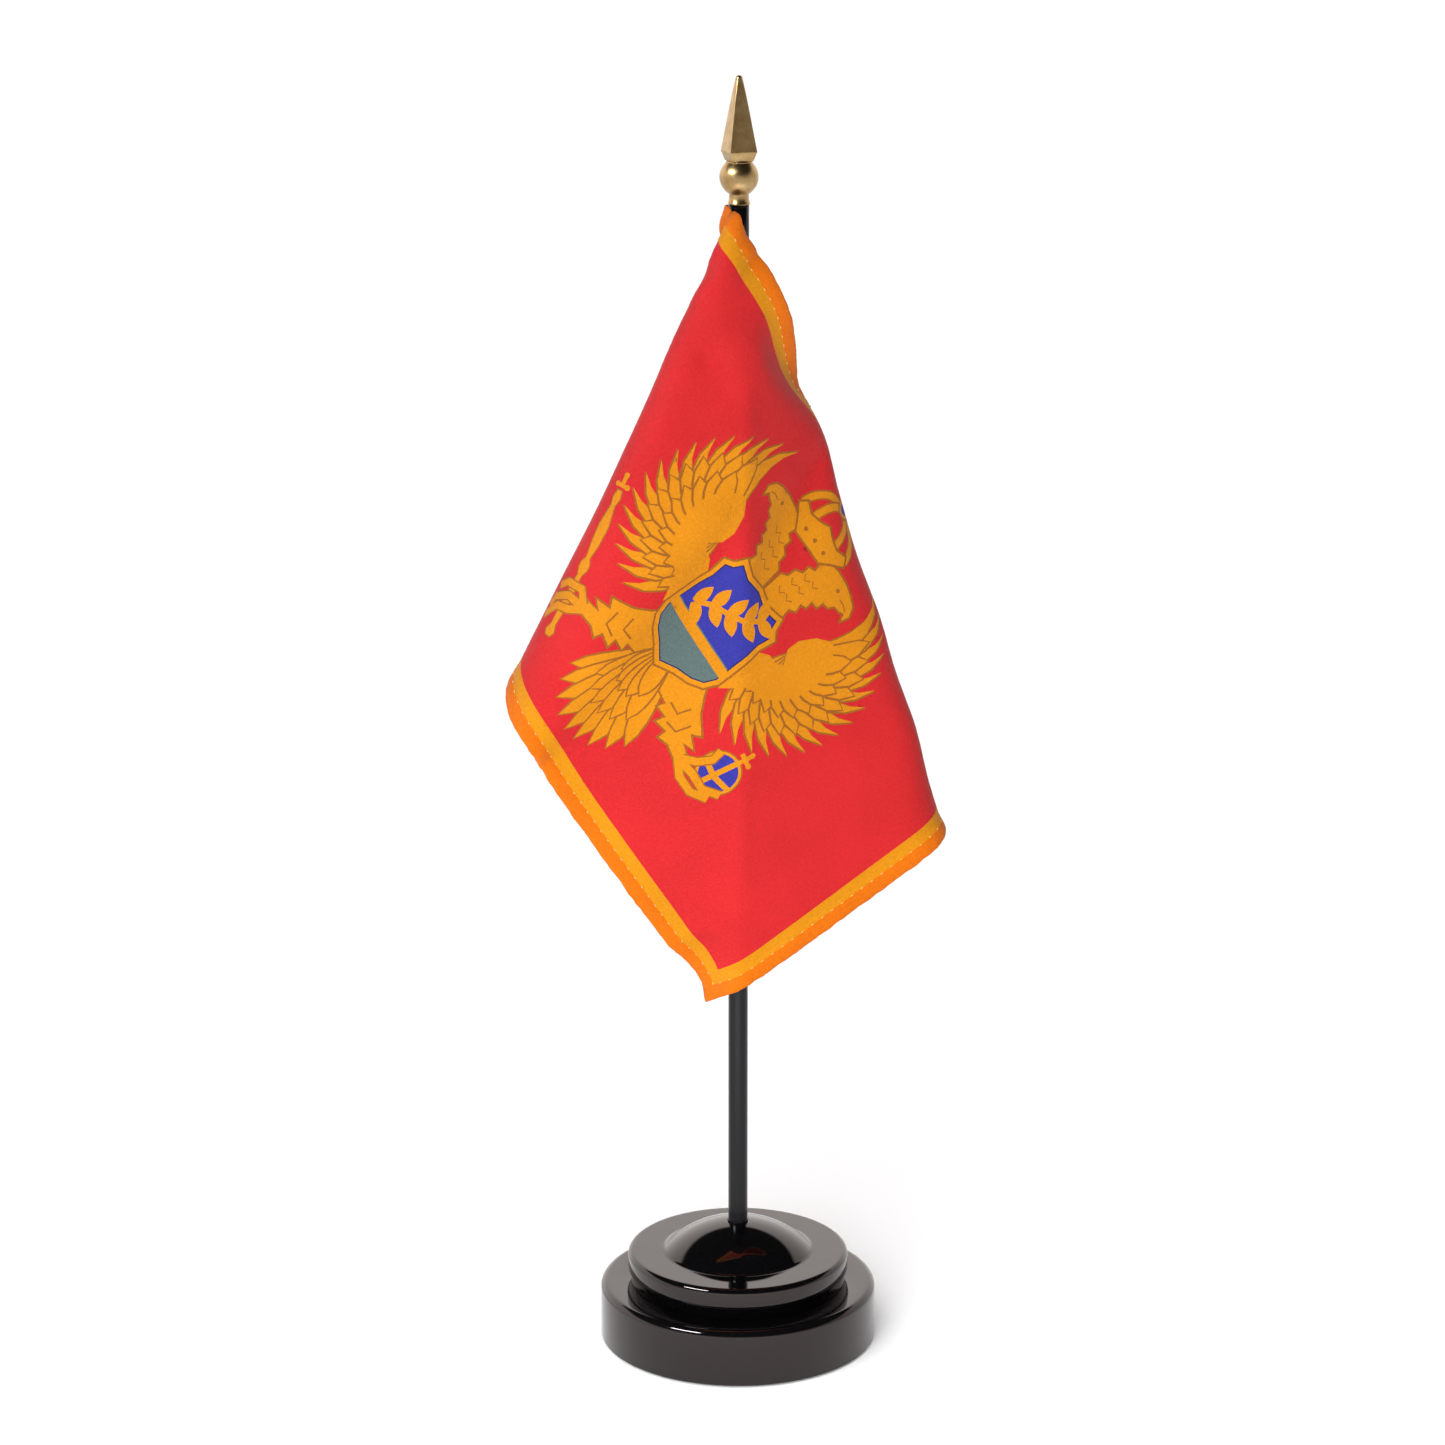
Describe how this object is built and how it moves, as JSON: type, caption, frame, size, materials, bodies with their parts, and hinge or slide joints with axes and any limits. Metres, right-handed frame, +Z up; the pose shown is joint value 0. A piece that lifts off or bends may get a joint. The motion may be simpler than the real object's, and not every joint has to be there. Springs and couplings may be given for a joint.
{
  "type": "desk flag stand",
  "caption": "Small table flag on a slim black staff with a gilt spear finial, standing in a round stepped gloss base.",
  "frame": {"origin": "centre of the flat underside of the base, on the staff axis", "axes": "+Z up along the staff; +X to the right and -Y to the front, the side that the printed face of the flag is seen from"},
  "size_m": [0.0963, 0.063, 0.2881],
  "materials": {
    "base_plastic": "high-gloss black moulded plastic with faint flow marks and fine handling scratches",
    "cap_plastic": "high-gloss black moulded plastic",
    "weight_iron": "bare grey iron",
    "pad_felt": "black pressed felt",
    "staff_plastic": "satin black plastic rod",
    "finial_gilt": "satin gold metallised moulding",
    "field_cloth": "red printed polyester with a fine weave",
    "hem_cloth": "orange-gold printed polyester, folded and stitched"
  },
  "bodies": {
    "base": {"base_shell": "base_plastic", "base_cap": "cap_plastic", "base_weight": "weight_iron", "base_pad": "pad_felt"},
    "staff": {"staff": "staff_plastic", "finial": "finial_gilt"},
    "flag": {"hoist_sleeve": "hem_cloth", "flag_cloth": "field_cloth", "top_hem": "hem_cloth", "fly_hem": "hem_cloth", "bottom_hem": "hem_cloth"}
  },
  "joints": [
    {"name": "staff_lift", "type": "slide", "parent": "base", "child": "staff", "axis": [0, 0, 1], "range_m": [0, 0.03]},
    {"name": "flag_turn", "type": "hinge", "parent": "staff", "child": "flag", "pos_m": [0, 0, 0.21], "axis": [0, 0, 1], "continuous": true}
  ]
}
